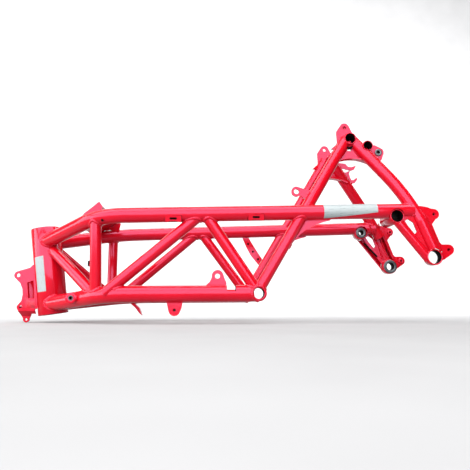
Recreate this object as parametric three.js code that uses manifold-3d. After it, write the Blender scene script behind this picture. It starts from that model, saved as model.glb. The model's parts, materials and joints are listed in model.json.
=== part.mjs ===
// Bare welded tubular trellis frame: steering head, two mirrored side trusses and a rear tower.
// Millimetres. +X runs from the steering head to the rear, +Y to the right-hand truss, +Z up.
// Truss points are written [x, w, z], where w is the distance out from the middle plane.
import * as THREE from 'three';
import { mergeVertices } from 'three/addons/utils/BufferGeometryUtils.js';
import Module from 'manifold-3d';

const wasm = await Module();
wasm.setup();

const LEFT = -1;
const RIGHT = 1;
const GAP = 0.3; // clearance that touching pieces keep
const SIDES = { rail: 18, brace: 14, bore: 8, boss: 18, head: 28 };

// Steering head
const HEAD = { top: [-322.4, 0, 154], bottom: [-298.6, 0, -16], radius: 28.5, bore: 23, seat: 25.2 };
const CUP = { depth: 14, wall: 3, lip: 3 };
const BRACKET = { inner: 14, outer: 17, rim: 6 };

// Main tubes of a side truss
const UPPER_RAIL = { radius: 14, wall: 2, bend: 90, path: [[-314, 16, 126.5], [-191, 123, 160], [392,
  106, 179]] };
const LOWER_RAIL = { radius: 15, wall: 2, bend: 90, path: [[-312, 5.5, 3], [-172, 120, 20.5], [96.4,
  114.7, 22.5]] };
const RELIEF_NOTCH = { x0: 38.7, x1: 54.9, floor: 26.5 };

// Straight braces of a side truss
const BRACE = { radius: 10.5, wall: 1.8 };
const HEAD_NODE = [-300, 17.4, 108.4];
const FOOT_NODE = [-196, 101.5, 18];
const STRUT_TOP = [-198.5, 114, 156.5];
const HEEL_NODE = [-178, 119.4, 20.8];
const APEX_NODE = [-4.5, 117.6, 166];
const APEX_SPREAD = 3.5; // each of the two braces at the apex stands this far from its node
const ENGINE_NODE = [96.4, 114.7, 22.5];
const STRUT_FOOT = [93, 114.8, 22.5];
const REAR_STRUT_TOP = [181, 112.2, 171.5];
const RIGHT_FORWARD = 9.5; // how much nearer the head the right-hand front nodes stand
const RIGHT_TOWER = { dx: -9, dz: -4 }; // shift of the right-hand tower below the cross tube

// Rear tower
const RISER = { radius: 11, wall: 1.8, foot: [182.7, 112, 172.5], head: [280, 66, 331.5] };
const DESCENDER = { radius: 12, wall: 2, bend: 110, path: [[291, 66, 331], [382, 101, 212], [405, 110,
  158]] };
const TOP_CROSS = { x: 285.4, z: 329.5, radius: 11.6, wall: 1.4, reach: 81 };
const TOWER_BOSS = { x: 318, z: 313.3, radius: 10.2, bore: 8.9, inner: 30, outer: 87 };

// Bosses with their axes along Y: inner and outer ends are distances from the middle plane
const ENGINE_BOSS = { x: 96.4, z: 22.5, radius: 14.2, bore: 9.8, inner: 100, outer: 122, collar: 12.2,
  face: 125 };
const PIVOT = { x: 357.5, z: 166.6 };
const LOWER_PIVOT = { x: 424.4, z: 89.8 };
const PIVOT_BOSS = { left: { radius: 13.2, bore: 11.3, inner: 60, outer: 119 },
  right: { radius: 14.5, bore: 10.6, inner: 98, outer: 119 } };
const LOWER_PIVOT_BOSS = { left: { radius: 15, bore: 12.6, inner: 103, outer: 121 },
  right: { radius: 16.5, bore: 12.6, inner: 103, outer: 121 } };
const PIVOT_BUSH = { bore: 5.6, flange: 11.6, flangeDepth: 2.5 };
const LOWER_PIVOT_BUSH = { bore: 8.8, flange: 15, flangeDepth: 2.5 };
const RAIL_BOSS = { x: -242, z: 14.3, radius: 9.8, bore: 3, inner: 55, outer: 93 };

// Pressed rear legs
const LEG = { radius: 9.2, wall: 2.2, plane: 112, web: 3 };
const FRONT_LEG = { start: [357, 112, 160.6], end: [416, 112, 86.6] };
const REAR_LEG = { start: [404, 112, 160], end: [430, 112, 97] };

// Nut pads on the left upper rail, turned down by tilt degrees
const NUT_PAD = { places: { front: -58, rear: 91.5 }, length: 29, depth: 8, height: 12, slot: [13, 4],
  tilt: 14,
  drop: 6 };

// Sheet thicknesses
const SHEET = 3;
const PLATE = 4;

// ---------- helpers ----------

function point([x, w, z], side = RIGHT) {
  return new THREE.Vector3(x, side * w, z);
}

function towards(a, b, distance) {
  return a.clone().add(b.clone().sub(a).setLength(distance));
}

function along(a, b, t) {
  return a.map((value, i) => value + (b[i] - value) * t);
}

// Stations of a straight, bent, straight tube: the bend is a quadratic arc inside the corner
function bentStations([a, corner, b], bend, steps = 5) {
  const start = towards(corner, a, bend / 2);
  const end = towards(corner, b, bend / 2);
  const arc = new THREE.QuadraticBezierCurve3(start, corner, end);
  return [a, ...arc.getPoints(steps), b];
}

// A path that ExtrudeGeometry visits exactly at the given stations
class StationPath extends THREE.Curve {
  constructor(stations) {
    super();
    this.stations = stations;
  }

  getPoint(t) {
    const last = this.stations.length - 1;
    const index = Math.min(Math.floor(t * last + 1e-6), last - 1);
    return this.stations[index].clone().lerp(this.stations[index + 1], t * last - index);
  }

  getPointAt(u) {
    return this.getPoint(u);
  }

  getTangentAt(u) {
    const last = this.stations.length - 1;
    const index = Math.round(u * last);
    const before = this.stations[Math.max(index - 1, 0)];
    const after = this.stations[Math.min(index + 1, last)];
    return after.clone().sub(before).normalize();
  }
}

function circle(radius, sides, x = 0, y = 0) {
  return Array.from({ length: sides }, (_, i) => {
    const angle = (2 * Math.PI * (i + 0.5)) / sides;
    return new THREE.Vector2(x + radius * Math.cos(angle), y + radius * Math.sin(angle));
  });
}

function arc(x, y, radius, from, to, steps = 6) {
  return Array.from({ length: steps + 1 }, (_, i) => {
    const angle = THREE.MathUtils.degToRad(from + ((to - from) * i) / steps);
    return [x + radius * Math.cos(angle), y + radius * Math.sin(angle)];
  });
}

function toSolid(geometry) {
  const bare = geometry.clone();
  bare.deleteAttribute('normal');
  bare.deleteAttribute('uv');
  const merged = mergeVertices(bare, 1e-4);
  return new wasm.Manifold(new wasm.Mesh({
    numProp: 3,
    vertProperties: new Float32Array(merged.attributes.position.array),
    triVerts: new Uint32Array(merged.index.array),
  }));
}

function toGeometry(solid) {
  const mesh = solid.getMesh();
  const geometry = new THREE.BufferGeometry();
  geometry.setAttribute('position', new THREE.BufferAttribute(mesh.vertProperties, 3));
  geometry.setIndex(new THREE.BufferAttribute(mesh.triVerts, 1));
  geometry.computeVertexNormals();
  return geometry;
}

function sweep(stations, outline, hole) {
  const shape = new THREE.Shape(outline);
  if (hole) {
    shape.holes.push(new THREE.Path(hole));
  }
  const options = { steps: stations.length - 1, bevelEnabled: false,
    extrudePath: new StationPath(stations) };
  return toSolid(new THREE.ExtrudeGeometry(shape, options));
}

function tube(stations, radius, wall, sides) {
  return sweep(stations, circle(radius, sides), circle(radius - wall, SIDES.bore));
}

function rod(stations, radius, sides = SIDES.boss) {
  return sweep(stations, circle(radius, sides));
}

// A turned piece on an axis along Y; profile points are [radius, distance from the middle plane]
function turned(x, z, side, profile, sides = SIDES.boss) {
  const closed = [...profile, profile[0]].map(([r, y]) => new THREE.Vector2(r, y));
  const geometry = new THREE.LatheGeometry(closed, sides);
  if (side === LEFT) {
    geometry.rotateX(Math.PI);
  }
  geometry.translate(x, 0, z);
  return toSolid(geometry);
}

// A flat plate standing parallel to the XZ plane: outline and holes are lists of [x, z]
function plateXZ(outline, y0, y1, holes = []) {
  const shape = new THREE.Shape(outline.map(([x, z]) => new THREE.Vector2(x, z)));
  shape.holes = holes.map(([x, z, radius]) => new THREE.Path(circle(radius, 14, x, z)));
  const depth = Math.abs(y1 - y0);
  const geometry = new THREE.ExtrudeGeometry(shape, { depth, bevelEnabled: false });
  geometry.rotateX(Math.PI / 2);
  geometry.translate(0, Math.max(y0, y1), 0);
  return toSolid(geometry);
}

// The same plate at distance w0 to w1 from the middle plane on one side
function sidePlate(side, outline, w0, w1, holes) {
  return plateXZ(outline, side * w0, side * w1, holes);
}

function box(x0, x1, y0, y1, z0, z1) {
  const geometry = new THREE.BoxGeometry(x1 - x0, y1 - y0, z1 - z0);
  geometry.translate((x0 + x1) / 2, (y0 + y1) / 2, (z0 + z1) / 2);
  return toSolid(geometry);
}

function cut(solid, ...cutters) {
  return cutters.reduce((rest, cutter) => rest.subtract(cutter), solid);
}

// Offcuts beyond a coped joint fall away: the largest body is the piece
function mainBody(solid) {
  return solid.decompose().sort((a, b) => b.volume() - a.volume())[0];
}

const chassis = new THREE.Group();

const FINISHES = {
  paint: { color: 0xe0142a, roughness: 0.25, metalness: 0.1 },
  steel: { color: 0x8f959a, roughness: 0.4, metalness: 0.9 },
  label: { color: 0xf2f4f3, roughness: 0.6, metalness: 0 },
};

function add(name, solid, finish = 'paint') {
  const mesh = new THREE.Mesh(toGeometry(mainBody(solid)),
    new THREE.MeshStandardMaterial(FINISHES[finish]));
  mesh.name = name;
  chassis.add(mesh);
}

// ---------- paths and cutting bodies of one side ----------

function sideFrame(side) {
  const upper = bentStations(UPPER_RAIL.path.map((p) => point(p, side)), UPPER_RAIL.bend);
  const lower = bentStations(LOWER_RAIL.path.map((p) => point(p, side)), LOWER_RAIL.bend);
  const tower = ([x, w, z]) => (side === RIGHT ? [x + RIGHT_TOWER.dx, w, z + RIGHT_TOWER.dz] : [x, w, z]);
  const [crown, knee, ankle] = DESCENDER.path;
  const descender = bentStations([tower(crown), tower(knee), ankle].map((p) => point(p, side)),
    DESCENDER.bend);
  const straight = (a, b) => [point(a, side), point(b, side)];
  const node = ([x, w, z]) => [side === RIGHT ? x - RIGHT_FORWARD : x, w, z];
  const [foot, strutTop, heel, apex] = [FOOT_NODE, STRUT_TOP, HEEL_NODE, APEX_NODE].map(node);
  return {
    upper,
    lower,
    descender,
    frontDiagonal: straight(HEAD_NODE, foot),
    frontStrut: straight(foot, strutTop),
    middleDiagonal: straight(heel, [apex[0] - APEX_SPREAD, apex[1], apex[2]]),
    rearDiagonal: straight([apex[0] + APEX_SPREAD, apex[1], apex[2]], ENGINE_NODE),
    rearStrut: straight(STRUT_FOOT, REAR_STRUT_TOP),
    riser: straight(RISER.foot, tower(RISER.head)),
  };
}

// Rod that clears a faceted tube of the given radius by at least GAP
function clearance(stations, radius, sides) {
  return rod(stations, (radius + GAP) / Math.cos(Math.PI / sides), sides);
}

function clearanceY(place, radius, y0, y1) {
  const ends = [new THREE.Vector3(place.x, y0, place.z), new THREE.Vector3(place.x, y1, place.z)];
  return clearance(ends, radius, SIDES.boss);
}

function keepOuts(side, name, paths) {
  const boss = (place, { radius, inner, outer }) => clearanceY(place, radius, side * (inner - 10),
    side * (outer + 20));
  const brace = (stations) => clearance(stations, BRACE.radius, SIDES.brace);
  const [top, bottom] = [point(HEAD.top), point(HEAD.bottom)];
  const headAxis = [towards(bottom, top, -20), towards(top, bottom, -20)];
  return {
    head: clearance(headAxis, HEAD.radius, SIDES.head),
    upper: clearance(paths.upper, UPPER_RAIL.radius, SIDES.rail),
    lower: clearance(paths.lower, LOWER_RAIL.radius, SIDES.rail),
    frontStrut: brace(paths.frontStrut),
    frontDiagonal: brace(paths.frontDiagonal),
    middleDiagonal: brace(paths.middleDiagonal),
    rearDiagonal: brace(paths.rearDiagonal),
    rearStrut: brace(paths.rearStrut),
    riser: clearance(paths.riser, RISER.radius, SIDES.brace),
    descender: clearance(paths.descender, DESCENDER.radius, SIDES.rail),
    topCross: clearanceY(TOP_CROSS, TOP_CROSS.radius, -150, 150),
    towerBoss: clearanceY(TOWER_BOSS, TOWER_BOSS.radius, -150, 0),
    engineBoss: boss(ENGINE_BOSS, ENGINE_BOSS),
    pivotBoss: boss(PIVOT, PIVOT_BOSS[name]),
    lowerPivotBoss: boss(LOWER_PIVOT, LOWER_PIVOT_BOSS[name]),
  };
}

// ---------- steering head ----------

function addSteeringHead() {
  const top = point(HEAD.top);
  const bottom = point(HEAD.bottom);
  const axis = [bottom, top];
  const seat = (end, other) => rod([towards(end, other, -1), towards(end, other, CUP.depth)], HEAD.seat);
  const body = tube(axis, HEAD.radius, HEAD.radius - HEAD.bore, SIDES.head);
  add('head_tube', cut(body, seat(bottom, top), seat(top, bottom)));
  for (const [name, end, other] of [['upper', top, bottom], ['lower', bottom, top]]) {
    const outer = rod([towards(end, other, 0.5), towards(end, other, CUP.depth - GAP)], HEAD.seat - GAP);
    const bore = rod([end, towards(end, other, CUP.depth - CUP.lip)], HEAD.seat - CUP.wall);
    const through = rod([end, towards(end, other, CUP.depth + 1)], HEAD.seat - CUP.wall - CUP.lip);
    add(`${name}_bearing_cup`, cut(outer, bore, through), 'steel');
  }
}

// Cheeks of the pressed bracket in front of the head: two ears and a hollow front edge. The left one has a
// rimmed window and the foot.
function addFrontBracket(keep) {
  const window = [[-347, 45.5], [-343.4, 15], [-331.5, 15], [-335, 50]];
  const outline = [[-318, 80], [-338, 80], [-343, 74.5], [-365, 67.6],
    ...arc(-364.6, 59.5, 8, 95, 215),
    [-360, 44], [-355.4, 33], [-354.2, 22], [-356, 10],
    ...arc(-356.8, -2, 7.5, 160, 225),
    [-360.5, -9.5], [-329.5, -4.8], [-302, -2]];
  const rim = window.map(([x, z]) => [-339.5 + (x + 339.5) * 1.28, 31.5 + (z - 31.5) * 1.12]);
  const { inner, outer } = BRACKET;
  for (const [side, name] of [[LEFT, 'left'], [RIGHT, 'right']]) {
    const sheet = sidePlate(side, outline, inner, outer, [[-364.6, 59.5, 3.7], [-356.8, -2, 3.2]]);
    const collar = sidePlate(side, rim, inner - BRACKET.rim, inner + 1);
    const opening = sidePlate(side, window, 0, 30);
    const pressing = side === LEFT ? sheet.add(collar).subtract(opening).add(bracketFoot()) : sheet;
    add(`front_bracket_${name}`, cut(pressing, keep.head));
  }
}

// Foot bent down from the left cheek: an inclined strip that ends in a hanging ear
function bracketFoot() {
  const section = [[0, 6], [0, 0], [10.5, -10], [10.5, -26], [13.5, -26], [13.5, -8.7], [3, 1.3], [3, 6]];
  const shape = new THREE.Shape(section.map(([y, z]) => new THREE.Vector2(y - BRACKET.outer, z - 9.5)));
  const geometry = new THREE.ExtrudeGeometry(shape, { depth: 40, bevelEnabled: false });
  geometry.applyMatrix4(new THREE.Matrix4().makeBasis(new THREE.Vector3(0, 1, 0), new THREE.Vector3(0, 0,
    1),
    new THREE.Vector3(1, 0, 0)));
  geometry.translate(-365, 0, 0);
  const outline = [[-362, -4], [-329.5, -4], [-329.5, -15.2], [-338, -15], ...arc(-348.4, -25.5, 6.4, 15,
    -195),
    [-357, -20], [-361.5, -9.5]];
  return toSolid(geometry).intersect(plateXZ(outline, -30, 20, [[-348.4, -26, 2.4]]));
}

// Inclined sheet between the upper rails, just behind the head, with a cheek down to each rail
function addCrossPlate(keepLeft, keepRight) {
  const slope = Math.atan2(23.8, 29);
  const length = 58;
  const shape = new THREE.Shape([[0, 101], [length, 92], [length, -92], [0, -101]]
    .map(([u, y]) => new THREE.Vector2(-u, y)));
  const geometry = new THREE.ExtrudeGeometry(shape, { depth: SHEET, bevelEnabled: false });
  geometry.rotateY(-slope);
  geometry.translate(-196, 0, 190.5 - SHEET);
  const outline = [[-224, 167.5], [-196, 190.5], [-190, 182], [-199, 143], [-204, 142], [-222, 158]];
  const cheeks = [LEFT, RIGHT].map((side) => sidePlate(side, outline, 98, 98 + SHEET));
  add('head_cross_plate', cut(toSolid(geometry).add(cheeks[0]).add(cheeks[1]), keepLeft.upper,
    keepRight.upper,
    keepLeft.frontStrut, keepRight.frontStrut));
}

// ---------- side trusses ----------

function addRails(side, name, paths, keep) {
  const upper = tube(paths.upper, UPPER_RAIL.radius, UPPER_RAIL.wall, SIDES.rail);
  add(`upper_rail_${name}`, cut(upper, keep.head, keep.pivotBoss, keep.descender));
  let lower = tube(paths.lower, LOWER_RAIL.radius, LOWER_RAIL.wall, SIDES.rail);
  if (side === LEFT) {
    lower = cut(lower, box(RELIEF_NOTCH.x0, RELIEF_NOTCH.x1, -160, -90, RELIEF_NOTCH.floor, 60));
  }
  add(`lower_rail_${name}`, cut(lower, keep.head, keep.engineBoss));
}

function addBraces(name, paths, keep) {
  const brace = (stations) => tube(stations, BRACE.radius, BRACE.wall, SIDES.brace);
  add(`front_diagonal_${name}`, cut(brace(paths.frontDiagonal), keep.head, keep.upper, keep.lower));
  add(`front_strut_${name}`, cut(brace(paths.frontStrut), keep.upper, keep.lower, keep.frontDiagonal));
  add(`middle_diagonal_${name}`, cut(brace(paths.middleDiagonal), keep.upper, keep.lower, keep.frontStrut));
  add(`rear_diagonal_${name}`, cut(brace(paths.rearDiagonal), keep.upper, keep.engineBoss, keep.lower,
    keep.middleDiagonal));
  add(`rear_strut_${name}`, cut(brace(paths.rearStrut), keep.upper, keep.engineBoss, keep.lower,
    keep.rearDiagonal));
}

function addTower(name, paths, keep) {
  const riser = tube(paths.riser, RISER.radius, RISER.wall, SIDES.brace);
  add(`riser_tube_${name}`, cut(riser, keep.upper, keep.topCross));
  const descender = tube(paths.descender, DESCENDER.radius, DESCENDER.wall, SIDES.rail);
  add(`descending_tube_${name}`, cut(descender, keep.topCross, keep.towerBoss, keep.riser, keep.pivotBoss));
}

// Outline moved with the tower of the given side
function onTower(side, outline) {
  return side === RIGHT ? outline.map(([x, z, ...rest]) => [x + RIGHT_TOWER.dx, z + RIGHT_TOWER.dz,
    ...rest]) : outline;
}

function addArchGusset(side, name, keep) {
  const bottom = (offset) => new THREE.QuadraticBezierCurve(new THREE.Vector2(250, 279 + offset),
    new THREE.Vector2(288, 300 + offset), new THREE.Vector2(328,
      279 + offset)).getPoints(8).map((p) => [p.x, p.y]);
  const sheet = sidePlate(side, onTower(side, [...bottom(0), [295, 326], [280, 326]]), 68.5, 71.5);
  const slot = sidePlate(side, onTower(side, [[278, 307], [288, 306], [288, 313], [279, 314]]), 60, 80);
  const lip = sidePlate(side, onTower(side, [...bottom(0), ...bottom(SHEET).reverse()]), 62, 76);
  add(`arch_gusset_${name}`, cut(sheet.subtract(slot).add(lip), keep.riser, keep.descender, keep.topCross,
    keep.towerBoss));
}

// Cross tube at the top of the tower, and the deep boss beside its left-hand end
function addCrossTube() {
  const { x, z, radius, wall, reach } = TOP_CROSS;
  const ends = [new THREE.Vector3(x, -reach, z), new THREE.Vector3(x, reach, z)];
  add('top_cross_tube', sweep(ends, circle(radius, SIDES.boss), circle(radius - wall, SIDES.boss)));
  add('tower_boss', turned(TOWER_BOSS.x, TOWER_BOSS.z, LEFT, bossProfile(TOWER_BOSS)));
}

// ---------- bosses, bushes and inserts ----------

function bossProfile({ radius, bore, inner, outer }) {
  return [[bore, inner], [radius, inner], [radius, outer], [bore, outer]];
}

function addBosses(side, name, keep) {
  const { bore, radius, inner, outer, collar, face } = ENGINE_BOSS;
  add(`engine_mount_boss_${name}`, turned(ENGINE_BOSS.x, ENGINE_BOSS.z, side,
    [[bore, inner], [radius, inner], [radius, outer], [collar, outer], [collar, face], [bore, face]]));
  add(`pivot_boss_${name}`, turned(PIVOT.x, PIVOT.z, side, bossProfile(PIVOT_BOSS[name])));
  add(`lower_pivot_boss_${name}`, turned(LOWER_PIVOT.x, LOWER_PIVOT.z, side,
    bossProfile(LOWER_PIVOT_BOSS[name])));
  add(`lower_rail_boss_${name}`, cut(turned(RAIL_BOSS.x, RAIL_BOSS.z, side, bossProfile(RAIL_BOSS)),
    keep.lower));
}

// A flanged sleeve pressed into a boss from its inner end
function addBush(name, place, boss, bush) {
  const radius = boss.bore - GAP;
  const flangeTop = boss.inner - GAP;
  const flangeEnd = flangeTop - bush.flangeDepth;
  const profile = [[bush.bore, flangeEnd], [bush.flange, flangeEnd], [bush.flange, flangeTop], [radius,
    flangeTop],
    [radius, boss.outer - 1], [bush.bore, boss.outer - 1]];
  add(name, turned(place.x, place.z, RIGHT, profile), 'steel');
}

// ---------- pressed rear legs and edge plates ----------

// Half-round channel, open towards the middle plane
function channel(side, leg, radius) {
  const start = point(leg.start, side);
  const end = point(leg.end, side);
  const direction = end.clone().sub(start);
  const length = direction.length();
  const outward = new THREE.Vector3(0, side, 0);
  const across = outward.clone().cross(direction.normalize());
  const outline = [...arc(0, 0, radius, 0, 180, 10), ...arc(0, 0, radius - LEG.wall, 180, 0, 8)];
  const shape = new THREE.Shape(outline.map(([a, b]) => new THREE.Vector2(a, b)));
  const geometry = new THREE.ExtrudeGeometry(shape, { depth: length, bevelEnabled: false });
  geometry.applyMatrix4(new THREE.Matrix4().makeBasis(across, outward, direction));
  geometry.translate(start.x, start.y, start.z);
  return toSolid(geometry);
}

function addRearPressing(side, name, keep) {
  const outline = [[357, 168], [398, 168], [412, 142], [432, 96], [424, 84], [414, 88]];
  const teardrop = [[373, 158], [379, 161.5], [389, 155], [395, 138], [391, 133], [380, 147]];
  const web = sidePlate(side, outline, LEG.plane, LEG.plane + LEG.web);
  const opening = sidePlate(side, teardrop, 90, 130);
  const legs = channel(side, FRONT_LEG, LEG.radius).add(channel(side, REAR_LEG, DESCENDER.radius));
  add(`rear_leg_pressing_${name}`, cut(web.subtract(opening).add(legs), keep.upper, keep.descender,
    keep.pivotBoss,
    keep.lowerPivotBoss));
}

function addRearEdgePlate(side, name, keep) {
  const outline = [[402, 187], [416, 185], [424, 182],
    ...arc(429.2, 171.4, 10, 70, -75), [424.5, 152], [437, 118], [441, 113.8],
    ...arc(453.8, 104, 10, 95, -65), [444, 85.5], [430, 80], [424, 100], [398, 160]];
  const plate = sidePlate(side, outline, 112.3, 116.3, [[429.2, 171.4, 3], [453.8, 104, 3]]);
  const legEnds = [-0.02, 1].map((t) => point(along(REAR_LEG.end, REAR_LEG.start, t), side));
  const leg = clearance(legEnds, DESCENDER.radius, SIDES.rail);
  add(`rear_edge_plate_${name}`, cut(plate, leg, keep.descender, keep.lowerPivotBoss, keep.upper));
}

// ---------- ears, gussets, tabs ----------

function addTopEars(side, name, keep) {
  const ear = [[249, 311], [262, 322], [261.5, 334], [260.5, 347], [268, 358.5],
    ...arc(277.7, 355.7, 9.6, 130, 30), [294.5, 343], [286, 330], [270, 308]];
  add(`top_ear_${name}`, cut(sidePlate(side, onTower(side, ear), 63.6, 67.6, onTower(side, [[277.7,
    355.7, 3.6]])), keep.riser, keep.topCross,
    keep.descender, keep.towerBoss));
}

// Ear with a threaded insert behind the tower boss
function addInsertEar(keep) {
  const insertHole = [343.8, 304.4, 5.6];
  const tail = [[322, 318], [337, 319.5], [348.6, 314], ...arc(344.3, 304.5, 10.8, 40, -35), [351, 291],
    [346.4, 284.5],
    [330, 286], [315, 305]];
  add('insert_ear', cut(sidePlate(LEFT, tail, 67, 71, [insertHole]), keep.descender, keep.towerBoss));
  add('tower_insert', turned(insertHole[0], insertHole[1], LEFT, [[3.2, 60], [5.3, 60], [5.3, 71.3],
    [7, 71.3], [7, 73], [3.2, 73]]), 'steel');
}

function addRailGusset(side, name, keep) {
  const concave = new THREE.QuadraticBezierCurve(new THREE.Vector2(154, 104), new THREE.Vector2(174, 145),
    new THREE.Vector2(232, 158)).getPoints(8).map((p) => [p.x, p.y]);
  const sheet = sidePlate(side, [...concave, [232, 172], [184, 172], [144, 106]], 110, 110 + SHEET);
  add(`rail_gusset_${name}`, cut(sheet, keep.upper, keep.rearStrut));
}

function addHookBracket(keep) {
  const outline = [...arc(170.5, 214, 9.6, 60, 310, 12), [184, 201], [200, 200], [204, 214], [186, 219]];
  add('riser_hook_bracket', cut(sidePlate(LEFT, outline, 100, 105, [[170.5, 214, 5]]), keep.riser,
    keep.upper));
}

// Two sheet hooks that hold a cable on the right-hand descending tube
function addCableHooks(keep) {
  const upper = [[294, 312], [300, 326.5], [307, 326], [320, 324.5], [326.5, 317.4], [333.5, 317], [340,
    318.8],
    [345, 321.3], [340, 311], [333.5, 308.5], [324.5, 310], [314, 313], [305, 305]];
  const lower = [[304, 292], [312, 306], [322, 305], [332, 310], [329, 302.5], [331.4, 293.5], [334, 287.2],
    [339, 287.3], [346.6, 293], [348.2, 289.3], [342.6, 281], [335.4, 278.2], [333, 268], [322, 270]];
  add('cable_hook_upper', cut(sidePlate(RIGHT, upper, 77, 77 + SHEET), keep.descender));
  add('cable_hook_lower', cut(sidePlate(RIGHT, lower, 80.5, 80.5 + SHEET), keep.descender));
}

function addHoleStrap(keep) {
  const outline = [[79, 168], [86, 150.6], [92.5, 135.3], [103, 115.3], [113.5, 102], [124, 90], [134, 80],
    [143, 88], [127.8, 108.8], [111.8, 133.6], [101.3, 150.8], [93, 168]];
  const holes = [[97.5, 141, 2.6], [108.8, 123.2, 2.6], [120.3, 105.9, 2.6]];
  add('three_hole_strap', cut(sidePlate(RIGHT, outline, 112, 112 + SHEET, holes), keep.upper,
    keep.rearStrut));
}

function addTabs(keepLeft, keepRight) {
  const standing = [[2, 30], [2, 37.5], [8, 43], [11.3, 50], ...arc(22.2, 53.8, 10.5, 165, 15), [34.3,
    50], [38, 41.5],
    [38.4, 30]];
  add('rail_top_tab', cut(sidePlate(LEFT, standing, 115, 115 + PLATE, [[22, 53, 4.6]]), keepLeft.lower,
    keepLeft.rearDiagonal));
  const hanging = [[-69, 12], [-65.5, -4], ...arc(-54, -7.4, 10.4, 195, 345), [-41.5, -4], [-38.5, 12]];
  add('underside_tab', cut(sidePlate(LEFT, hanging, 118, 118 + SHEET, [[-54, -7.2, 2.6]]), keepLeft.lower));
  const edge = [[-171, 14], [-166, 6], [-154, -4.5], [-146, -15], [-139.4, -21], [-142, -12], [-145,
    -4.5], [-152, 2.5],
    [-162, 12]];
  add('underside_bracket', cut(sidePlate(RIGHT, edge, 110, 130), keepRight.lower));
}

// Slotted nut pads on the outer lower face of the left upper rail
function addNutPads(keep) {
  const [, bend, rear] = UPPER_RAIL.path;
  for (const [name, x] of Object.entries(NUT_PAD.places)) {
    const axis = along(bend, rear, (x - bend[0]) / (rear[0] - bend[0]));
    const pad = new THREE.BoxGeometry(NUT_PAD.length, NUT_PAD.depth, NUT_PAD.height);
    const slot = new THREE.BoxGeometry(NUT_PAD.slot[0], 30, NUT_PAD.slot[1]);
    for (const geometry of [pad, slot]) {
      geometry.translate(0, -11.5, -NUT_PAD.drop);
      geometry.rotateX(THREE.MathUtils.degToRad(NUT_PAD.tilt));
      geometry.translate(x, -axis[1], axis[2]);
    }
    add(`nut_pad_${name}`, cut(toSolid(pad), toSolid(slot), keep.upper));
  }
}

// ---------- stickers ----------

function addStickers() {
  const top = point(HEAD.top);
  const bottom = point(HEAD.bottom);
  const skin = (stations, radius, sides) =>
    sweep(stations, circle(radius + 0.9, sides), circle(radius + GAP + 0.1, sides));
  const headSkin = skin([top.clone().lerp(bottom, 0.357), top.clone().lerp(bottom, 0.756)], HEAD.radius,
    SIDES.head);
  const headWindow = plateXZ([[-333.8, 93.9], [-315.6, 98.2], [-306.5, 28.7], [-324.5, 26]], -60, -10);
  add('head_sticker', headSkin.intersect(headWindow), 'label');
  const [front, rear] = [point(UPPER_RAIL.path[1], LEFT), point(UPPER_RAIL.path[2], LEFT)];
  const railSkin = skin([front.clone().lerp(rear, 0.69), front.clone().lerp(rear, 0.88)], UPPER_RAIL.radius,
    SIDES.rail);
  const railWindow = plateXZ([[218, 200], [222, 162], [313, 171], [320.5, 177], [317.5, 200]], -160, -112);
  add('rail_sticker', railSkin.intersect(railWindow), 'label');
}

// ---------- assembly ----------

const keepOut = {};
for (const [side, name] of [[LEFT, 'left'], [RIGHT, 'right']]) {
  const paths = sideFrame(side);
  const keep = keepOuts(side, name, paths);
  keepOut[name] = keep;
  addRails(side, name, paths, keep);
  addBraces(name, paths, keep);
  addTower(name, paths, keep);
  addArchGusset(side, name, keep);
  addBosses(side, name, keep);
  addRearPressing(side, name, keep);
  addRearEdgePlate(side, name, keep);
  addTopEars(side, name, keep);
  addRailGusset(side, name, keep);
}
addSteeringHead();
addFrontBracket(keepOut.left);
addCrossPlate(keepOut.left, keepOut.right);
addCrossTube();
addBush('pivot_bush', PIVOT, PIVOT_BOSS.right, PIVOT_BUSH);
addBush('lower_pivot_bush', LOWER_PIVOT, LOWER_PIVOT_BOSS.right, LOWER_PIVOT_BUSH);
addHookBracket(keepOut.left);
addHoleStrap(keepOut.right);
addInsertEar(keepOut.left);
addCableHooks(keepOut.right);
addTabs(keepOut.left, keepOut.right);
addNutPads(keepOut.left);
addStickers();

// The origin lies in the middle plane, half-way along the frame, at the height of the lowest point
const bounds = new THREE.Box3().setFromObject(chassis);
chassis.position.set(-(bounds.min.x + bounds.max.x) / 2, 0, -bounds.min.z);

export default chassis;
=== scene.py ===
import json
import math

import bmesh
import bpy
import numpy as np
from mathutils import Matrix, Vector


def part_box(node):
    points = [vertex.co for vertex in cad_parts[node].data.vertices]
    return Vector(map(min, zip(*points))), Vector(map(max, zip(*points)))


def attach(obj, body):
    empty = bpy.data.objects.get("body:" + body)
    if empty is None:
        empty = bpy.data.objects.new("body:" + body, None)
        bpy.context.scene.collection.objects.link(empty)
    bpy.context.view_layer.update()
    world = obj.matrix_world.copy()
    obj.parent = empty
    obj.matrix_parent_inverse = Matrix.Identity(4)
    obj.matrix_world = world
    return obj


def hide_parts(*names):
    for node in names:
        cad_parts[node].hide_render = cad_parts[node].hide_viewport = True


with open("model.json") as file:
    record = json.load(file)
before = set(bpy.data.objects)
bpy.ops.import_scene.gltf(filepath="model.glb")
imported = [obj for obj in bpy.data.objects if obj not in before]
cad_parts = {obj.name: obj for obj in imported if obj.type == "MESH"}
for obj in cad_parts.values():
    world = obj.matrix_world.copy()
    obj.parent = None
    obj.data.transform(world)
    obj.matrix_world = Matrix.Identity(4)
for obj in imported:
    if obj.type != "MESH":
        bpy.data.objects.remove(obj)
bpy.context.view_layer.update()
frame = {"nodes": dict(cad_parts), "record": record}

# Design coordinates are millimetres: x to the rear, w out from the middle plane, z up.
MM = 0.001
LEFT, RIGHT = -1, 1
NAMES = {LEFT: "left", RIGHT: "right"}
LINES = 64           # lines round a tube
SEGMENTS = 72        # segments round a turned piece
SINK = 0.3 * MM      # how far a coped tube end goes into its neighbour
TRIM = 0.12          # how much thinner than its nominal radius a tube is drawn

# ---------- dimensions ----------

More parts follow.
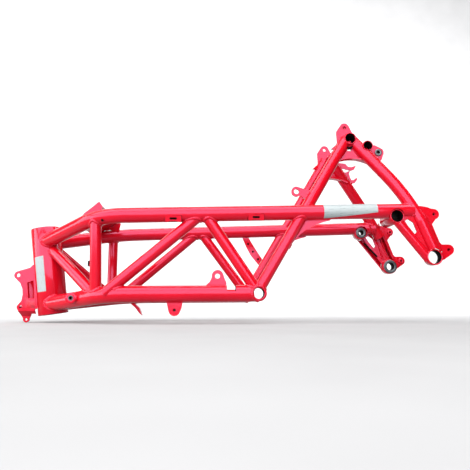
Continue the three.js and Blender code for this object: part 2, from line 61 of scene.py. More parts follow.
ENGINE_X, ENGINE_Z = 96.4, 22.5
HEAD_TOP, HEAD_BOTTOM = (-322.4, 0, 154), (-298.6, 0, -16)
HEAD_RADIUS, HEAD_BORE, CUP_SEAT, CUP_DEPTH = 28.5, 23, 25.2, 14

UPPER_RAIL = [(-314, 16, 126.5), (-191, 123, 160), (392, 106, 179)]
LOWER_RAIL = [(-312, 5.5, 3), (-172, 120, 20.5), (96.4, 114.7, 22.5)]
DESCENDER = [(291, 66, 331), (382, 101, 212), (405, 110, 158)]
RISER = [(182.7, 112, 172.5), (280, 66, 331.5)]
FRONT_DIAGONAL = [(-300, 17.4, 108.4), (-196, 101.5, 18)]
FRONT_STRUT = [(-196, 101.5, 18), (-198.5, 114, 156.5)]
MIDDLE_DIAGONAL = [(-178, 119.4, 20.8), (-8, 117.6, 166)]
REAR_DIAGONAL = [(-1, 117.6, 166), (96.4, 114.7, 22.5)]
REAR_STRUT = [(93, 114.8, 22.5), (181, 112.2, 171.5)]
FRONT_LEG = [(357, 112, 160.6), (416, 112, 86.6)]
REAR_LEG = [(404, 112, 160), (430, 112, 97)]
RAIL_BEND, DESCENDER_BEND = 90, 110
RIGHT_FORWARD = 9.5          # how much nearer the head the right-hand front nodes stand
RIGHT_TOWER = (-9, 0, -4)    # shift of the right-hand tower, below its cross tube

TOP_CROSS = (285.4, 329.5)
TOWER_BOSS = (318, 313.3)
PIVOT = (357.5, 166.6)
LOWER_PIVOT = (424.4, 89.8)
RAIL_BOSS = (-242, 14.3)
TOWER_INSERT = (343.8, 304.4)


def anchor():
    low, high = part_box("engine_mount_boss_left")
    return np.array([(low.x + high.x) / 2 - ENGINE_X * MM, 0, (low.z + high.z) / 2 - ENGINE_Z * MM])


ANCHOR = anchor()


def at(x, w, z, side=RIGHT):
    return np.array([x, side * w, z]) * MM + ANCHOR


def unit(v):
    return v / np.linalg.norm(v, axis=-1, keepdims=True)


# ---------- materials ----------

class Nodes:
    """A material's node tree with short ways to add and link nodes."""

    def __init__(self, name):
        self.material = bpy.data.materials.new(name)
        self.material.use_nodes = True
        self.tree = self.material.node_tree
        self.shader = self.tree.nodes["Principled BSDF"]
        self.place = self.add("ShaderNodeTexCoord").outputs["Object"]

    def add(self, kind, **values):
        node = self.tree.nodes.new(kind)
        for key, value in values.items():
            if hasattr(node, key):
                setattr(node, key, value)
            else:
                node.inputs[key.replace("_", " ")].default_value = value
        return node

    def link(self, source, target):
        self.tree.links.new(source, target)

    def noise(self, scale, detail=3.0, source=None):
        node = self.add("ShaderNodeTexNoise", Scale=scale, Detail=detail)
        self.link(source or self.place, node.inputs["Vector"])
        return node.outputs["Fac"]

    def ramp(self, source, stops):
        node = self.add("ShaderNodeValToRGB")
        elements = node.color_ramp.elements
        while len(elements) < len(stops):
            elements.new(0.5)
        for element, (position, color) in zip(elements, stops):
            element.position = position
            element.color = (*color, 1) if isinstance(color, tuple) else (color, color, color, 1)
        self.link(source, node.inputs["Fac"])
        return node.outputs["Color"]

    def mix(self, factor, first, second):
        node = self.add("ShaderNodeMix", data_type="RGBA")
        self.link(factor, node.inputs["Factor"])
        for socket, value in ((node.inputs["A"], first), (node.inputs["B"], second)):
            if isinstance(value, tuple):
                socket.default_value = (*value, 1)
            else:
                self.link(value, socket)
        return node.outputs["Result"]

    def bump(self, source, strength, distance, under=None):
        node = self.add("ShaderNodeBump", Strength=strength, Distance=distance)
        self.link(source, node.inputs["Height"])
        if under:
            self.link(under, node.inputs["Normal"])
        return node.outputs["Normal"]

    def set(self, **values):
        for key, value in values.items():
            socket = self.shader.inputs[key.replace("_", " ")]
            if hasattr(value, "is_linked"):
                self.link(value, socket)
            else:
                socket.default_value = value


def red_paint():
    n = Nodes("red_paint")
    cloud = n.noise(14, 4)
    base = n.ramp(cloud, [(0.3, (0.345, 0.0010, 0.005)), (0.7, (0.405, 0.0017, 0.008))])
    dust = n.ramp(n.noise(260, 6), [(0.70, 0.0), (0.76, 1.0)])
    n.set(Base_Color=n.mix(dust, base, (0.24, 0.002, 0.007)))
    n.set(Roughness=n.ramp(n.noise(35, 5), [(0.3, 0.09), (0.75, 0.19)]))
    n.set(Normal=n.bump(n.noise(420, 2), 0.05, 0.0003, n.bump(n.noise(60, 2), 0.05, 0.0012)))
    n.set(Specular_IOR_Level=0.42, Specular_Tint=(1.0, 0.50, 0.92, 1))
    return n.material


def bore_shade():
    # Near black: the bare steel inside bores, darkened further as painted shade. It also paints the shade of
    # cut faces, gaps and recesses.
    n = Nodes("bore_shade")
    n.set(Base_Color=n.ramp(n.noise(120, 5), [(0.3, (0.0015, 0.0006, 0.0008)),
                                              (0.7, (0.006, 0.0012, 0.0018))]))
    n.set(Normal=n.bump(n.noise(600, 4), 0.3, 0.0003), Roughness=0.75, Specular_IOR_Level=0.04)
    return n.material


def turned_steel():
    n = Nodes("turned_steel")
    n.set(Base_Color=n.ramp(n.noise(60, 5), [(0.3, (0.05, 0.055, 0.06)), (0.7, (0.10, 0.107, 0.115))]))
    n.set(Roughness=n.ramp(n.noise(180, 5), [(0.3, 0.28), (0.7, 0.48)]))
    n.set(Normal=n.bump(n.noise(1500, 3), 0.15, 0.0002), Metallic=0.95)
    return n.material


def label_paper():
    n = Nodes("label_paper")
    bars = n.add("ShaderNodeTexBrick", Scale=1.0, offset=0.35)
    bars.inputs["Color1"].default_value = (0.05, 0.07, 0.08, 1)
    bars.inputs["Color2"].default_value = (0.09, 0.115, 0.125, 1)
    bars.inputs["Mortar"].default_value = (0.205, 0.232, 0.237, 1)
    bars.inputs["Mortar Size"].default_value = 0.062
    bars.inputs["Brick Width"].default_value = 0.23
    bars.inputs["Row Height"].default_value = 0.14
    coordinates = n.add("ShaderNodeTexCoord")
    n.link(coordinates.outputs["UV"], bars.inputs["Vector"])
    fade = n.ramp(n.noise(160, 4), [(0.40, 0.0), (0.62, 0.75)])
    n.set(Base_Color=n.mix(fade, (0.205, 0.232, 0.237), bars.outputs["Color"]))
    n.set(Normal=n.bump(n.noise(900, 5), 0.12, 0.0002), Roughness=0.45)
    return n.material


def backdrop_paper():
    n = Nodes("backdrop_paper")
    n.set(Base_Color=n.ramp(n.noise(8, 2), [(0.2, (0.25, 0.25, 0.253)), (0.8, (0.27, 0.27, 0.273))]))
    n.set(Roughness=0.95, Specular_IOR_Level=0.1)
    return n.material


RED = red_paint()
DARK = bore_shade()
STEEL = turned_steel()
PAPER = label_paper()
FINISH = {"red_paint": RED, "bare_steel": STEEL, "label_stock": PAPER}


# ---------- meshes ----------

class Shell:
    """Vertices and faces of one piece; faces marked 1 take bore_shade, near-black bare steel darkened as
    painted shade for bores, cuts, gaps and recesses.
    """

    def __init__(self):
        self.points = []
        self.faces = []
        self.marks = []

    def add(self, points, faces, mark=0):
        first = len(self.points)
        self.points.extend(points)
        self.faces.extend([tuple(first + i for i in face) for face in faces])
        self.marks.extend([mark] * len(faces))
        return first

    def rows(self, rows, mark=0, round_rows=True, round_columns=True):
        """Joins rows of equal length by quads. round_rows joins each row's end to its start."""
        count = len(rows[0])
        points = [p for row in rows for p in row]
        faces = []
        across = range(count if round_rows else count - 1)
        down = range(len(rows) if round_columns else len(rows) - 1)
        for j in down:
            for i in across:
                a, b = j * count, ((j + 1) % len(rows)) * count
                k = (i + 1) % count
                faces.append((a + i, a + k, b + k, b + i))
        return self.add(points, faces, mark)

    def build(self, name, slot, node=None, angle=35):
        mesh = bpy.data.meshes.new(name)
        mesh.from_pydata([tuple(map(float, p)) for p in self.points], [], self.faces)
        mesh.materials.append(FINISH[slot])
        mesh.materials.append(DARK)
        mesh.polygons.foreach_set("material_index", self.marks)
        shape = bmesh.new()
        shape.from_mesh(mesh)
        bmesh.ops.recalc_face_normals(shape, faces=shape.faces)
        shape.to_mesh(mesh)
        shape.free()
        mesh.shade_smooth()
        mesh.set_sharp_from_angle(angle=math.radians(angle))
        piece = bpy.data.objects.new(name, mesh)
        bpy.context.scene.collection.objects.link(piece)
        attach(piece, "root")
        if node:
            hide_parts(node)
        return piece


# ---------- lines and tubes ----------

class Tube:
    def __init__(self, points, radius, wall=2, side=RIGHT, bend=None):
        points = [at(*p, side) for p in points]
        self.line = bent(points, bend * MM) if bend else np.array(points)
        self.radius = (radius - TRIM) * MM
        self.wall = wall * MM


def bent(points, bend, steps=16):
    a, corner, b = points
    start = corner + unit(a - corner) * bend / 2
    end = corner + unit(b - corner) * bend / 2
    t = np.linspace(0, 1, steps + 1)[:, None]
    curve = (1 - t) ** 2 * start + 2 * t * (1 - t) * corner + t ** 2 * end
    return np.vstack([a, curve, b])


def lengthened(line, before, after):
    first = line[0] + unit(line[0] - line[1]) * before * MM
    last = line[-1] + unit(line[-1] - line[-2]) * after * MM
    return np.vstack([first, line[1:-1], last])


def resampled(line, step, closed=False):
    if closed:
        line = np.vstack([line, line[:1]])
    lengths = np.linalg.norm(np.diff(line[:, :3], axis=0), axis=1)
    s = np.concatenate([[0], np.cumsum(lengths)])
    wanted = np.linspace(0, s[-1], max(8, int(round(s[-1] / step)) + 1))
    rows = np.stack([np.interp(wanted, s, line[:, k]) for k in range(line.shape[1])], axis=1)
    return rows[:-1] if closed else rows


def cross_axes(centre):
    tangent = unit(np.gradient(centre, axis=0))
    overall = unit(centre[-1] - centre[0])
    reference = np.array([0, 0, 1.0]) if abs(overall[2]) < 0.7 else np.array([0, 1.0, 0])
    up = unit(reference - (tangent @ reference)[:, None] * tangent)
    return up, np.cross(tangent, up), tangent


def lines_of(centre, radius, count=LINES):
    up, across, _ = cross_axes(centre)
    angles = 2 * math.pi * np.arange(count) / count
    around = np.cos(angles)[None, :, None] * up[:, None] + np.sin(angles)[None, :, None] * across[:, None]
    return centre[:, None] + radius * around


def nearest(points, tube):
    """Clearance of each point from the tube's surface, and the point of its axis that is nearest."""
    flat = points.reshape(-1, 3)
    best = np.full(len(flat), np.inf)
    foot = np.zeros_like(flat)
    for a, b in zip(tube.line[:-1], tube.line[1:]):
        run = b - a
        t = np.clip((flat - a) @ run / (run @ run), 0, 1)
        near = a + t[:, None] * run
        distance = np.linalg.norm(flat - near, axis=1)
        closer = distance < best
        best[closer] = distance[closer]
        foot[closer] = near[closer]
    return (best - tube.radius).reshape(points.shape[:-1]), foot.reshape(points.shape)


def met_along(lines, targets, start, step):
    """Where each line, followed from start, first goes into a target, and whether it does."""
    depth = np.min([nearest(lines, target)[0] for target in targets], axis=0)
    last = lines.shape[0] - 1 if step > 0 else 0
    places = np.zeros(lines.shape[1])
    met = np.zeros(lines.shape[1], bool)
    for i in range(lines.shape[1]):
        k = start
        while k != last and depth[k, i] > -SINK:
            k += step
        places[i] = k
        if depth[k, i] <= -SINK and k != start:
            before = depth[k - step, i]
            places[i] = k - step + step * (before + SINK) / (before - depth[k, i])
            met[i] = True
    return places, met


def points_along(lines, places):
    low = np.clip(np.floor(places).astype(int), 0, lines.shape[0] - 2)
    t = (places - low)[:, None]
    columns = np.arange(lines.shape[1])
    return lines[low, columns] * (1 - t) + lines[low + 1, columns] * t


def runs(met):
    """Unbroken runs of true values round a circle, each with whether it is the whole circle."""
    if met.all():
        return [(list(range(len(met))), True)]
    found, run = [], []
    start = int(np.argmin(met))
    for k in range(1, len(met) + 1):
        i = (start + k) % len(met)
        if met[i]:
            run.append(i)
        elif run:
            found.append((run, False))
            run = []
    return [item for item in found if len(item[0]) > 3]


# ---------- weld beads ----------

BEAD = 2.6
SLIM_BEAD = 1.3  # where a wider bead would reach through the wall of the cross tube
PITCH = 2.8 * MM


def bead(shell, loop, outward, closed, radius=BEAD):
    """A rippled bead along a line of points, its crown turned outward."""
    both = resampled(np.hstack([loop, outward]), 0.65 * MM, closed)
    loop, outward = both[:, :3], both[:, 3:]
    if closed:
        tangent = unit(np.roll(loop, -1, axis=0) - np.roll(loop, 1, axis=0))
    else:
        tangent = unit(np.gradient(loop, axis=0))
    crown = unit(outward - np.sum(outward * tangent, axis=1, keepdims=True) * tangent)
    flank = np.cross(tangent, crown)
    length = np.arange(len(loop)) * 0.65 * MM
    swell = 1 + 0.11 * np.sin(2 * math.pi * length / PITCH) + 0.05 * np.sin(length / (3.7 * MM) + 1.3)
    angles = 2 * math.pi * np.arange(10) / 10
    rows = []
    for p, c, f, s in zip(loop, crown, flank, swell):
        rows.append([p + radius * MM * s * (0.8 * math.cos(a) * c + 1.15 * math.sin(a) * f) for a in angles])
    if closed:
        shell.rows(rows)
        return
    first = shell.rows(rows, round_columns=False)
    end = first + (len(rows) - 1) * 10
    shell.faces.append(tuple(range(first, first + 10)))
    shell.faces.append(tuple(range(end, end + 10)))
    shell.marks.extend([0, 0])


def bead_on_lines(shell, lines, centre_points, places, met, targets, radius=BEAD):
    points = points_along(lines, places)
    clearances, feet = zip(*[nearest(points, target) for target in targets])
    closest = np.argmin(clearances, axis=0)
    foot = np.array(feet)[closest, np.arange(len(points))]
    outward = unit(points - centre_points) + unit(points - foot)
    for run, closed in runs(met):
        bead(shell, points[run], outward[run], closed, radius)


def collar_bead(shell, x, z, radius, outer, inner, side, targets, size=BEAD):
    """A bead where a round piece along Y comes out of its neighbours, followed from its outer end inwards."""
    centre = resampled(np.array([at(x, outer, z, side), at(x, inner, z, side)]), 0.5 * MM)
    lines = lines_of(centre, radius * MM)
    places, met = met_along(lines, targets, 0, 1)
    middle = points_along(np.repeat(centre[:, None], lines.shape[1], axis=1), places)
    bead_on_lines(shell, lines, middle, places, met, targets, size)


def inside(x, z, outline):
    result = False
    for (x0, z0), (x1, z1) in zip(outline, outline[1:] + outline[:1]):
        if (z0 > z) != (z1 > z) and x < x0 + (z - z0) * (x1 - x0) / (z1 - z0):
            result = not result
    return result


def plate_beads(shell, side, face, outline, tube, normal=1, size=1.7):
    """Beads where one face of a side plate meets a tube, inside the plate's outline."""
    centre = resampled(tube.line, 1 * MM)
    up, across, _ = cross_axes(centre)
    level = side * face * MM
    amplitude = np.hypot(up[:, 1], across[:, 1]) * tube.radius
    offset = np.arctan2(across[:, 1], up[:, 1])
    cosine = (level - centre[:, 1]) / amplitude
    for turn in (-1, 1):
        angle = offset + turn * np.arccos(np.clip(cosine, -1, 1))
        radial = np.cos(angle)[:, None] * up + np.sin(angle)[:, None] * across
        points = centre + tube.radius * radial
        design = (points - ANCHOR) / MM
        kept = np.array([abs(c) < 0.995 and inside(p[0], p[2], outline) for c, p in zip(cosine, design)])
        kept = np.concatenate([[False], kept])
        for run, _ in runs(kept):
            run = [k - 1 for k in run]
            if run[0] < run[-1] and len(run) > 5:
                bead(shell, points[run], radial[run] + np.array([0, side * normal, 0.0]), False, size)


# ---------- tubes of the frame ----------

def rows_between(tangent, first, last):
    rows = [first]
    for k in range(first + 1, last):
        turning = np.linalg.norm(tangent[k] - tangent[k - 1]) > 2e-4
        if k - rows[-1] >= (3 if turning else 50):
            rows.append(k)
    return rows


def coped_tube(name, tube, targets, before=0, after=0, weld=BEAD):
    centre = resampled(lengthened(tube.line, before, after), 1 * MM)
    tangent = cross_axes(centre)[2]
    middle = len(centre) // 2
    skins = []
    for radius in (tube.radius, tube.radius - tube.wall):
        lines = lines_of(centre, radius)
        skins.append((lines, *met_along(lines, targets, middle, -1), *met_along(lines, targets, middle, 1)))
    first = int(max(skin[1].max() for skin in skins)) + 1
    last = int(min(skin[3].min() for skin in skins))
    stations = rows_between(tangent, first, last)
    shell = Shell()
    rims = []
    for lines, low, _, high, _ in skins:
        rims.append([points_along(lines, low), *[lines[k] for k in stations], points_along(lines, high)])
    shell.rows(rims[0] + rims[1][::-1])
    # The inner skin takes bore_shade: bare steel darkened as painted shade.
    outer_faces = LINES * (len(rims[0]) - 1)
    shell.marks[outer_faces:] = [1] * (len(shell.marks) - outer_faces)
    piece = shell.build("tube_" + name, "red_paint", name, 40)
    welds = Shell()
    lines, low, low_met, high, high_met = skins[0]
    axis = np.repeat(centre[:, None], LINES, axis=1)
    for places, met in ((low, low_met), (high, high_met)):
        if met.any():
            bead_on_lines(welds, lines, points_along(axis, places), places, met, targets, weld)
    if welds.faces:
        welds.build("weld_" + name, "red_paint")
    return piece


def across(x, z, radius, inner=0, outer=150, side=RIGHT, both=False):
    start = -outer if both else inner
    return Tube([(x, start, z), (x, outer, z)], radius, side=side)


def forward(points, side, moved, shift=(-RIGHT_FORWARD, 0, 0)):
    """The right-hand truss isn't an exact mirror: moves the chosen points of a right-hand tube."""
    if side == LEFT:
        return points
    return [tuple(a + b for a, b in zip(p, shift)) if k in moved else p for k, p in enumerate(points)]


def side_tubes(side):
    s = {"side": side}
    return {
        "upper": Tube(UPPER_RAIL, 14, bend=RAIL_BEND, **s),
        "lower": Tube(LOWER_RAIL, 15, bend=RAIL_BEND, **s),
        "front_diagonal": Tube(forward(FRONT_DIAGONAL, side, [1]), 10.5, 1.8, **s),
        "front_strut": Tube(forward(FRONT_STRUT, side, [0, 1]), 10.5, 1.8, **s),
        "middle_diagonal": Tube(forward(MIDDLE_DIAGONAL, side, [0, 1]), 10.5, 1.8, **s),
        "rear_diagonal": Tube(forward(REAR_DIAGONAL, side, [0]), 10.5, 1.8, **s),
        "rear_strut": Tube(REAR_STRUT, 10.5, 1.8, **s),
        "riser": Tube(forward(RISER, side, [1], RIGHT_TOWER), 11, 1.8, **s),
        "descender": Tube(forward(DESCENDER, side, [0, 1], RIGHT_TOWER), 12, bend=DESCENDER_BEND, **s),
        "head": Tube([HEAD_BOTTOM, HEAD_TOP], HEAD_RADIUS),
        "engine": across(ENGINE_X, ENGINE_Z, 14.2, **s),
        "top_cross": across(*TOP_CROSS, 11.6, both=True),
        "rear_leg": Tube(REAR_LEG, 12, **s),
        "front_leg": Tube(FRONT_LEG, 9.2, **s),
    }


def add_side_tubes(side, t):
    name = NAMES[side]
    upper = coped_tube(f"upper_rail_{name}", t["upper"], [t["head"], t["descender"]], before=14)
    # The groove cut round the pivot boss leaves a real gap; its cut faces take bore_shade, painted shade.
    cut_away(upper, round_bar(*PIVOT, 13.9 if side == LEFT else 14.8, side), 1)
    rail = coped_tube(f"lower_rail_{name}", t["lower"], [t["head"], t["engine"]], before=14)
    if side == LEFT:
        relieve(rail)
    coped_tube(f"front_diagonal_{name}", t["front_diagonal"], [t["head"], t["upper"], t["lower"]])
    coped_tube(f"front_strut_{name}", t["front_strut"], [t["upper"], t["lower"], t["front_diagonal"]])
    coped_tube(f"middle_diagonal_{name}", t["middle_diagonal"], [t["upper"], t["lower"], t["front_strut"]])
    coped_tube(f"rear_diagonal_{name}", t["rear_diagonal"],
               [t["upper"], t["engine"], t["lower"], t["middle_diagonal"]])
    coped_tube(f"rear_strut_{name}", t["rear_strut"],
               [t["upper"], t["engine"], t["lower"], t["rear_diagonal"]])
    coped_tube(f"riser_tube_{name}", t["riser"], [t["upper"], t["top_cross"]], weld=SLIM_BEAD)
    descender = coped_tube(f"descending_tube_{name}", t["descender"], [t["top_cross"], t["riser"]],
                           weld=SLIM_BEAD)
    if side == LEFT:
        # The groove cut round the tower boss leaves a real gap; its cut faces take bore_shade, painted shade.
        cut_away(descender, round_bar(*TOWER_BOSS, 10.9, side), 1)
    collars = Shell()
    places = [(*TOP_CROSS, 11.6, 78, 50, [t["riser"], t["descender"]]),
              (*RAIL_BOSS, 9.8, 90, 60, [t["lower"]])]
    for x, z, radius, outer, inner, targets in places:
        collar_bead(collars, x, z, radius, outer, inner, side, targets, 1.6)
    collars.build(f"weld_collars_{name}", "red_paint")


def solid_box(x0, x1, y0, y1, z0, z1):
    shell = Shell()
    corners = [(x, y, z) for z in (z0, z1) for y in (y0, y1) for x in (x0, x1)]
    faces = [(0, 2, 3, 1), (4, 5, 7, 6), (0, 1, 5, 4), (2, 6, 7, 3), (0, 4, 6, 2), (1, 3, 7, 5)]
    shell.add([at(*c) for c in corners], faces)
    return shell


def round_bar(x, z, radius, side):
    """A solid bar along Y that goes right through a side truss."""
    shell = Shell()
    extruded(shell, arc(x, z, radius, 0, 360, 64)[:-1], XZ_AXES, at(0, 0, 0),
             *sorted((side * 60, side * 150)))
    return shell


def cut_away(piece, shell, mark=0):
    """Cuts the shell's solid out of a piece. The cut faces get the material slot given by mark."""
    mesh = bpy.data.meshes.new("cutter")
    mesh.from_pydata([tuple(map(float, p)) for p in shell.points], [], shell.faces)
    solid = bmesh.new()
    solid.from_mesh(mesh)
    bmesh.ops.recalc_face_normals(solid, faces=solid.faces[:])
    solid.to_mesh(mesh)
    solid.free()
    mesh.polygons.foreach_set("material_index", [mark] * len(mesh.polygons))
    cutter = bpy.data.objects.new("cutter", mesh)
    bpy.context.scene.collection.objects.link(cutter)
    modifier = piece.modifiers.new("cut", "BOOLEAN")
    modifier.operation = "DIFFERENCE"
    modifier.solver = "EXACT"
    modifier.object = cutter
    bpy.context.view_layer.update()
    graph = bpy.context.evaluated_depsgraph_get()
    result = bpy.data.meshes.new_from_object(piece.evaluated_get(graph))
    piece.modifiers.clear()
    piece.data = result
    bpy.data.objects.remove(cutter)


def relieve(rail):
    # The notch's cut faces take bore_shade: painted shade along its edges.
    cut_away(rail, solid_box(38.7, 54.9, -160, -90, 26.5, 60), 1)


# ---------- turned pieces ----------

def chamfered(profile, size):
    """Each corner of a closed profile becomes two points, size away along its sides."""
    result = []
    count = len(profile)
    for i, corner in enumerate(profile):
        corner = np.array(corner, float)
        for other in (profile[i - 1], profile[(i + 1) % count]):
            side = np.array(other, float) - corner
            length = np.linalg.norm(side)
            result.append(tuple(corner + side / length * min(size, length * 0.4)))
    return result


def turn(shell, origin, axis, profile, dark=None, segments=SEGMENTS):
    """Turns a closed profile of (radius, along) points in mm about an axis. Faces whose radius is at most dark
    are marked as bore."""
    axis = unit(np.array(axis, float))
    reference = np.array([0, 0, 1.0]) if abs(axis[2]) < 0.7 else np.array([1.0, 0, 0])
    a = unit(np.cross(axis, reference))
    b = np.cross(axis, a)
    angles = 2 * math.pi * np.arange(segments) / segments
    rows = [[origin + (along * axis + radius * (math.cos(k) * a + math.sin(k) * b)) * MM for k in angles]
            for radius, along in profile]
    before = len(shell.marks)
    shell.rows(rows)
    # Bore faces take bore_shade: bare steel darkened as painted shade.
    if dark:
        for j, (radius, _) in enumerate(profile):
            if max(radius, profile[(j + 1) % len(profile)][0]) <= dark + 1e-6:
                start = before + j * segments
                shell.marks[start:start + segments] = [1] * segments


def turned_piece(name, slot, origin, axis, profile, dark=None, node=None, chamfer=0.5):
    shell = Shell()
    turn(shell, origin, axis, chamfered(profile, chamfer), dark)
    return shell.build(name, slot, node, 50)


def side_axis(side):
    return (0, side, 0)


def ring_profile(bore, radius, inner, outer):
    return [(bore, inner), (radius, inner), (radius, outer), (bore, outer)]


def add_steering_head():
    bottom, top = at(*HEAD_BOTTOM), at(*HEAD_TOP)
    axis = top - bottom
    length = np.linalg.norm(axis) / MM
    seat = CUP_DEPTH
    profile = [(HEAD_BORE, seat), (CUP_SEAT, seat), (CUP_SEAT, 0), (HEAD_RADIUS, 0), (HEAD_RADIUS, length),
               (CUP_SEAT, length), (CUP_SEAT, length - seat), (HEAD_BORE, length - seat)]
    turned_piece("turned_head_tube", "red_paint", bottom, axis, profile, CUP_SEAT, "head_tube", 0.8)
    cup = [(22.2, 0.5), (24.9, 0.5), (24.9, 13.7), (19.2, 13.7), (19.2, 11), (22.2, 11)]
    turned_piece("turned_lower_cup", "bare_steel", bottom, axis, cup, None, "lower_bearing_cup", 0.3)
    turned_piece("turned_upper_cup", "bare_steel", top, -axis, cup, None, "upper_bearing_cup", 0.3)


def add_side_bosses(side):
    name = NAMES[side]
    out = side_axis(side)
    engine = [(9.8, 100), (14.2, 100), (14.2, 122), (12.2, 122), (12.2, 125), (9.8, 125)]
    turned_piece(f"turned_engine_boss_{name}", "red_paint", at(ENGINE_X, 0, ENGINE_Z), out, engine, 9.8,
                 f"engine_mount_boss_{name}")
    pivot = ring_profile(11.3, 13.2, 60, 119) if side == LEFT else ring_profile(10.6, 14.5, 98, 119)
    turned_piece(f"turned_pivot_boss_{name}", "red_paint", at(PIVOT[0], 0, PIVOT[1]), out, pivot, 11.3,
                 f"pivot_boss_{name}")
    lower = ring_profile(12.6, 15 if side == LEFT else 16.5, 103, 121)
    turned_piece(f"turned_lower_pivot_boss_{name}", "red_paint", at(LOWER_PIVOT[0], 0, LOWER_PIVOT[1]), out,
                 lower, 12.6, f"lower_pivot_boss_{name}")
    turned_piece(f"turned_rail_boss_{name}", "red_paint", at(RAIL_BOSS[0], 0, RAIL_BOSS[1]), out,
                 ring_profile(3, 9.8, 55, 93), 3, f"lower_rail_boss_{name}")
    turned_piece(f"rail_boss_insert_{name}", "bare_steel", at(RAIL_BOSS[0], 0, RAIL_BOSS[1]), out,
                 ring_profile(3.1, 4.7, 91, 93.5), None, None, 0.25)


def add_tower_pieces():
    turned_piece("turned_top_cross_tube", "red_paint", at(TOP_CROSS[0], 0, TOP_CROSS[1]), (0, 1, 0),
                 ring_profile(10.2, 11.6, -81, 81), 10.2, "top_cross_tube", 0.3)
    out = side_axis(LEFT)
    turned_piece("turned_tower_boss", "red_paint", at(TOWER_BOSS[0], 0, TOWER_BOSS[1]), out,
                 ring_profile(8.9, 10.2, 30, 87), 8.9, "tower_boss", 0.3)
    insert = [(3.2, 60), (5.3, 60), (5.3, 71.3), (7, 71.3), (7, 73), (3.2, 73)]
    turned_piece("turned_tower_insert", "bare_steel", at(TOWER_INSERT[0], 0, TOWER_INSERT[1]), out, insert,
                 3.3,
                 "tower_insert", 0.3)


def add_bushes():
    flange = [(5.6, 95.2), (11.6, 95.2), (11.6, 97.7), (10.3, 97.7), (10.3, 118), (5.6, 118)]
    turned_piece("turned_pivot_bush", "bare_steel", at(PIVOT[0], 0, PIVOT[1]), (0, 1, 0), flange, 5.6,
                 "pivot_bush", 0.4)
    lower = [(8.8, 100.2), (15, 100.2), (15, 102.7), (12.3, 102.7), (12.3, 120), (8.8, 120)]
    turned_piece("turned_lower_pivot_bush", "bare_steel", at(LOWER_PIVOT[0], 0, LOWER_PIVOT[1]), (0, 1, 0),
                 lower, 8.8, "lower_pivot_bush", 0.4)


# ---------- sheet pieces: CAD solids with rolled edges, and their welds ----------

SHEETS = ("arch_gusset", "rear_leg_pressing", "rear_edge_plate", "top_ear", "rail_gusset")
SINGLE_SHEETS = ("front_bracket_left", "front_bracket_right", "head_cross_plate", "riser_hook_bracket",
                 "three_hole_strap", "rail_top_tab", "underside_tab", "underside_bracket", "insert_ear",
                 "cable_hook_upper", "cable_hook_lower")


def soften_sheet(node):
    piece = frame["nodes"][node]
    for name in ("custom_normal",):
        if name in piece.data.attributes:
            piece.data.attributes.remove(piece.data.attributes[name])
    piece.data.shade_smooth()
    piece.data.set_sharp_from_angle(angle=math.radians(35))
    weld = piece.modifiers.new("weld", "WELD")
    weld.merge_threshold = 0.00001
    bevel = piece.modifiers.new("bevel", "BEVEL")
    bevel.width = 0.45 * MM
    bevel.segments = 2
    bevel.limit_method = "ANGLE"
    bevel.angle_limit = math.radians(40)
    bevel.harden_normals = True


def arc(x, z, radius, start, end, steps=12):
    angles = [math.radians(start + (end - start) * k / steps) for k in range(steps + 1)]
    return [(x + radius * math.cos(a), z + radius * math.sin(a)) for a in angles]


def on_tower(outline, side):
    dx, _, dz = RIGHT_TOWER if side == RIGHT else (0, 0, 0)
    return [(x + dx, z + dz) for x, z in outline]


def add_sheet_welds(side, t):
    name = NAMES[side]
    shell = Shell()
    ear = [(249, 311), (262, 322), (261.5, 334), (260.5, 347), (268, 358.5), *arc(277.7, 355.7, 9.6, 130, 30),
           (294.5, 343), (286, 330), (270, 308)]
    plate_beads(shell, side, 67.6, on_tower(ear, side), t["riser"])
    insert_ear = [(322, 318), (337, 319.5), (348.6, 314), *arc(344.3, 304.5, 10.8, 40, -35), (351, 291),
                  (346.4, 284.5), (330, 286), (315, 305)]
    if side == LEFT:
        plate_beads(shell, side, 71, insert_ear, t["descender"])
    gusset = [(154, 104), (166, 128), (184, 143), (206, 152), (232, 158), (232, 172), (184, 172), (144, 106)]
    for tube in ("upper", "rear_strut"):
        plate_beads(shell, side, 113, gusset, t[tube])
    arch = [(250, 279), (268, 287), (289, 290), (310, 287), (328, 279), (295, 326), (280, 326)]
    for tube in ("riser", "descender"):
        plate_beads(shell, side, 71.5, on_tower(arch, side), t[tube])
    edge = [(402, 187), (416, 185), (424, 182), *arc(429.2, 171.4, 10, 70, -75), (424.5, 152), (437, 118),
            (441, 113.8), *arc(453.8, 104, 10, 95, -65), (444, 85.5), (430, 80), (424, 100), (398, 160)]
    for tube in ("rear_leg", "descender"):
        plate_beads(shell, side, 116.3, edge, t[tube])
    if side == LEFT:
        hook = [*arc(170.5, 214, 9.6, 60, 310), (184, 201), (200, 200), (204, 214), (186, 219)]
        plate_beads(shell, side, 105, hook, t["riser"])
        standing = [(2, 30), (2, 37.5), (8, 43), (11.3, 50), *arc(22.2, 53.8, 10.5, 165, 15), (34.3, 50),
                    (38, 41.5), (38.4, 30)]
        plate_beads(shell, side, 119, standing, t["lower"])
        hanging = [(-69, 12), (-65.5, -4), *arc(-54, -7.4, 10.4, 195, 345), (-41.5, -4), (-38.5, 12)]
        plate_beads(shell, side, 121, hanging, t["lower"])
    shell.build(f"weld_sheets_{name}", "red_paint")


# ---------- stickers ----------

